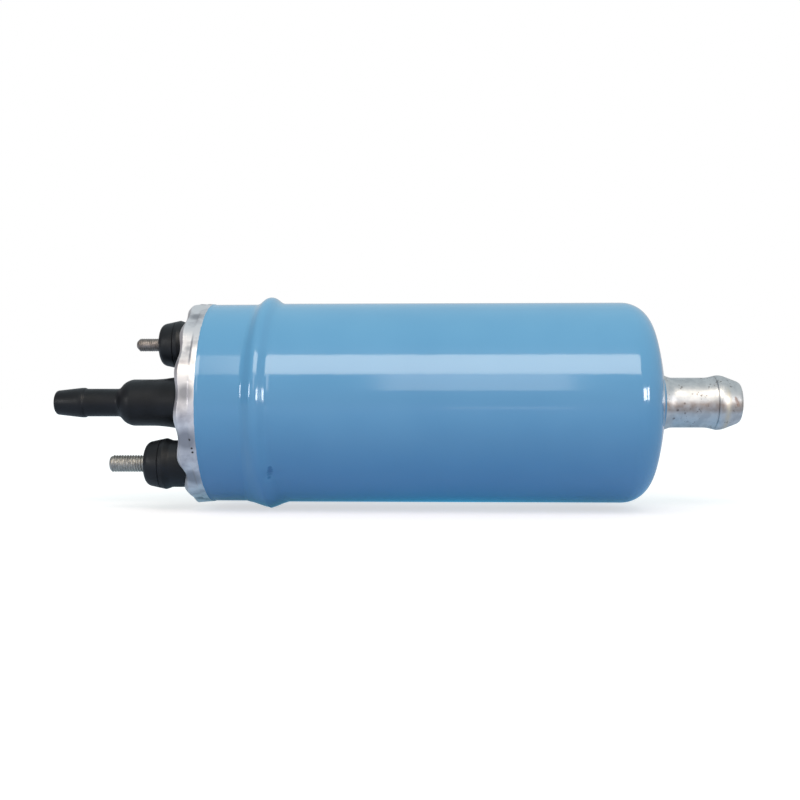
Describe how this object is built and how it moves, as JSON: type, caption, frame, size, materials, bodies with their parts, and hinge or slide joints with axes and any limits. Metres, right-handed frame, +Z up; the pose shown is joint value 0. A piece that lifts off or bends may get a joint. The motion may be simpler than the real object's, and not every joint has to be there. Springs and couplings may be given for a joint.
{
  "type": "fuel pump",
  "caption": "In-line electric fuel pump: cylindrical steel can with a rolled bead, hose nipples at both ends and two threaded terminal studs.",
  "frame": {"origin": "on the pump's axis, in the middle of the plain length of the can that a clamp goes round", "axes": "+X along the axis from the outlet and terminal end to the inlet end, +Z up as pictured, with the thinner stud above and the thicker one below the outlet"},
  "size_m": [0.2069, 0.0638, 0.0638],
  "materials": {
    "blue_painted_steel": "glossy blue paint over deep-drawn steel, bare at the rolled rim",
    "zinc_plated_steel": "zinc plated, satin",
    "black_coated_steel": "satin black coating",
    "black_plastic": "moulded glass-filled nylon, satin",
    "nylon": "natural nylon",
    "nitrile_rubber": "moulded rubber",
    "cast_aluminium": "die cast",
    "sintered_steel": "sintered and ground",
    "laminated_steel": "stacked laminations",
    "spring_steel": "bright drawn",
    "ferrite": "ground ferrite",
    "bronze": "sintered bronze, oil filled",
    "brass": "machined or pressed brass",
    "copper": "enamelled or bare copper",
    "carbon": "pressed carbon"
  },
  "bodies": {
    "housing": {"housing_can": "blue_painted_steel", "inlet_nipple": "zinc_plated_steel", "inlet_screen": "nylon", "suction_plate": "cast_aluminium", "cell_seal_ring": "nitrile_rubber", "gear_ring": "sintered_steel", "pressure_plate": "cast_aluminium", "cell_screws": "zinc_plated_steel", "relief_spring": "spring_steel", "relief_plug": "brass", "flux_ring": "zinc_plated_steel", "field_magnets": "ferrite", "magnet_clips": "spring_steel", "front_bush": "bronze", "rear_bush": "bronze", "brush_holder": "black_plastic", "brush_spring_positive": "spring_steel", "brush_spring_negative": "spring_steel", "end_cover": "cast_aluminium", "cover_seal_ring": "nitrile_rubber", "terminal_stud_positive": "zinc_plated_steel", "terminal_stud_negative": "zinc_plated_steel", "insulator_positive": "black_plastic", "insulator_negative": "black_plastic", "stud_seal_positive": "nitrile_rubber", "stud_seal_negative": "nitrile_rubber", "inner_insulator_positive": "nylon", "inner_insulator_negative": "nylon", "terminal_strip_positive": "brass", "terminal_strip_negative": "brass", "outlet_nipple": "black_coated_steel", "outlet_washer": "copper", "check_valve_seat": "brass", "check_valve_guide": "brass", "check_valve_spring": "spring_steel"},
    "armature": {"armature_shaft": "spring_steel", "armature_core": "laminated_steel", "armature_winding": "copper", "commutator_hub": "black_plastic", "commutator_bars": "copper", "thrust_washers": "nylon", "inner_rotor": "sintered_steel"},
    "outer_rotor": {"outer_rotor": "sintered_steel"},
    "brush_positive": {"brush_positive": "carbon"},
    "brush_negative": {"brush_negative": "carbon"},
    "check_valve_poppet": {"check_valve_poppet": "brass"},
    "relief_ball": {"relief_ball": "spring_steel"}
  },
  "joints": [
    {"name": "armature_spin", "type": "hinge", "parent": "housing", "child": "armature", "pos_m": [0, 0, 0], "axis": [1, 0, 0], "continuous": true},
    {"name": "outer_rotor_spin", "type": "hinge", "parent": "housing", "child": "outer_rotor", "pos_m": [0, 0, 0.0014], "axis": [1, 0, 0], "continuous": true},
    {"name": "brush_positive_slide", "type": "slide", "parent": "housing", "child": "brush_positive", "axis": [0, 0, -1], "range_m": [0, 0.0025], "stiffness_N_per_m": 120, "springref_m": -0.01, "deforming": ["brush_spring_positive"]},
    {"name": "brush_negative_slide", "type": "slide", "parent": "housing", "child": "brush_negative", "axis": [0, 0, 1], "range_m": [0, 0.0025], "stiffness_N_per_m": 120, "springref_m": -0.01, "deforming": ["brush_spring_negative"]},
    {"name": "check_valve_lift", "type": "slide", "parent": "housing", "child": "check_valve_poppet", "axis": [-1, 0, 0], "range_m": [0, 0.0015], "stiffness_N_per_m": 200, "springref_m": -0.004, "deforming": ["check_valve_spring"]},
    {"name": "relief_ball_lift", "type": "slide", "parent": "housing", "child": "relief_ball", "axis": [1, 0, 0], "range_m": [0, 0.0012], "stiffness_N_per_m": 800, "springref_m": -0.003, "deforming": ["relief_spring"]}
  ],
  "couplings": [
    {"joint": "outer_rotor_spin", "follows": "armature_spin", "ratio": 0.85714}
  ]
}
